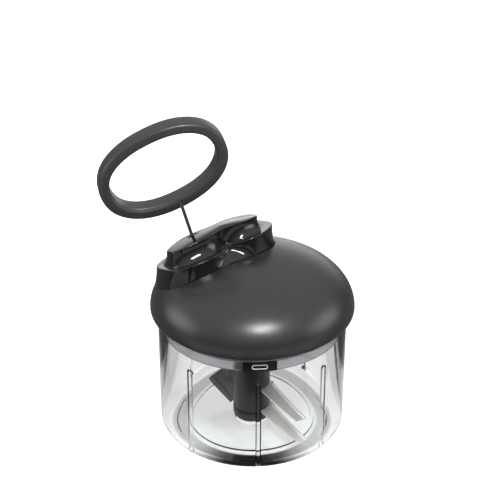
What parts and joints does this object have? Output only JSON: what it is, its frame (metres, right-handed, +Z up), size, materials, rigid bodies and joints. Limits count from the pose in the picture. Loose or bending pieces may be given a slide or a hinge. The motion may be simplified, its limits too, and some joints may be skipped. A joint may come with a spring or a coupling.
{
  "type": "manual food chopper",
  "caption": "Pull-cord food chopper: clear round bowl, black domed lid with a raised handle rest, ring handle on a cord, and blades on a pivot pin.",
  "frame": {"origin": "centre of the bowl's foot, on the table", "axes": "+Z up along the axis of the bowl and blades, -Y towards the viewer, handle rest to the back left (-X, +Y)"},
  "size_m": [0.1861, 0.15, 0.2387],
  "materials": {
    "clear_plastic": "clear polished",
    "satin_black": "satin",
    "gloss_black": "high gloss",
    "handle_black": "satin",
    "black_nylon": "moulded",
    "grey_plastic": "translucent smoke",
    "natural_nylon": "moulded",
    "grey_paddle": "satin",
    "rubber": "matte",
    "cord": "braided",
    "steel": "polished"
  },
  "bodies": {
    "bowl": {"bowl": "clear_plastic", "pivot_pin": "steel"},
    "lid": {"dome_cover": "satin_black", "handle_rest": "gloss_black", "lid_base": "grey_plastic", "lid_seal": "rubber", "cord_eyelet": "black_nylon", "cord_guide": "natural_nylon", "mechanism_bracket": "black_nylon", "reel_axle": "steel", "axle_clip": "steel", "thrust_washer": "natural_nylon", "output_bush": "natural_nylon", "recoil_spring": "steel", "cord_lead": "cord", "cord_span": "cord", "base_screw_1": "steel", "base_screw_2": "steel", "base_screw_3": "steel", "base_screw_4": "steel", "rest_screw_1": "steel", "rest_screw_2": "steel", "bracket_screw_1": "steel", "bracket_screw_2": "steel", "bracket_screw_3": "steel"},
    "reel": {"reel": "natural_nylon", "reel_cover": "natural_nylon", "cord_winding": "cord"},
    "drive": {"drive_ratchet": "black_nylon", "drive_socket": "black_nylon", "drive_screw": "steel"},
    "blades": {"blade_hub": "black_nylon", "hub_cap": "black_nylon", "lower_blade": "steel", "upper_blade": "steel", "mixing_paddle": "grey_paddle"},
    "cord_tip": {"cord_end": "cord"},
    "handle": {"pull_handle": "handle_black", "cord_knot": "cord", "knot_plug": "handle_black"}
  },
  "joints": [
    {"name": "lid_lift", "type": "slide", "parent": "bowl", "child": "lid", "axis": [0, 0, 1], "range_m": [0, 0.12]},
    {"name": "handle_pull", "type": "slide", "parent": "lid", "child": "cord_tip", "axis": [-0.3059, 0.1921, 0.9325], "range_m": [-0.0154, 0.25], "stiffness_N_per_m": 8, "springref_m": -0.35, "deforming": ["cord_span"]},
    {"name": "handle_tilt", "type": "hinge", "parent": "cord_tip", "child": "handle", "pos_m": [-0.05176, 0.01402, 0.17612], "axis": [0.8918, 0.1573, 0.4242], "range_deg": [-10, 70]},
    {"name": "reel_spin", "type": "hinge", "parent": "lid", "child": "reel", "pos_m": [0, 0, 0.1], "axis": [0, 0, 1], "range_deg": [-46, 733]},
    {"name": "drive_spin", "type": "hinge", "parent": "lid", "child": "drive", "pos_m": [0, 0, 0.1], "axis": [0, 0, 1], "range_deg": [-46, 733]},
    {"name": "blade_spin", "type": "hinge", "parent": "bowl", "child": "blades", "pos_m": [0, 0, 0.1], "axis": [0, 0, 1], "range_deg": [-46, 733]}
  ],
  "couplings": [
    {"joint": "reel_spin", "follows": "handle_pull", "rad_per_m": 51.151},
    {"joint": "drive_spin", "follows": "handle_pull", "rad_per_m": 51.151},
    {"joint": "blade_spin", "follows": "handle_pull", "rad_per_m": 51.151}
  ]
}
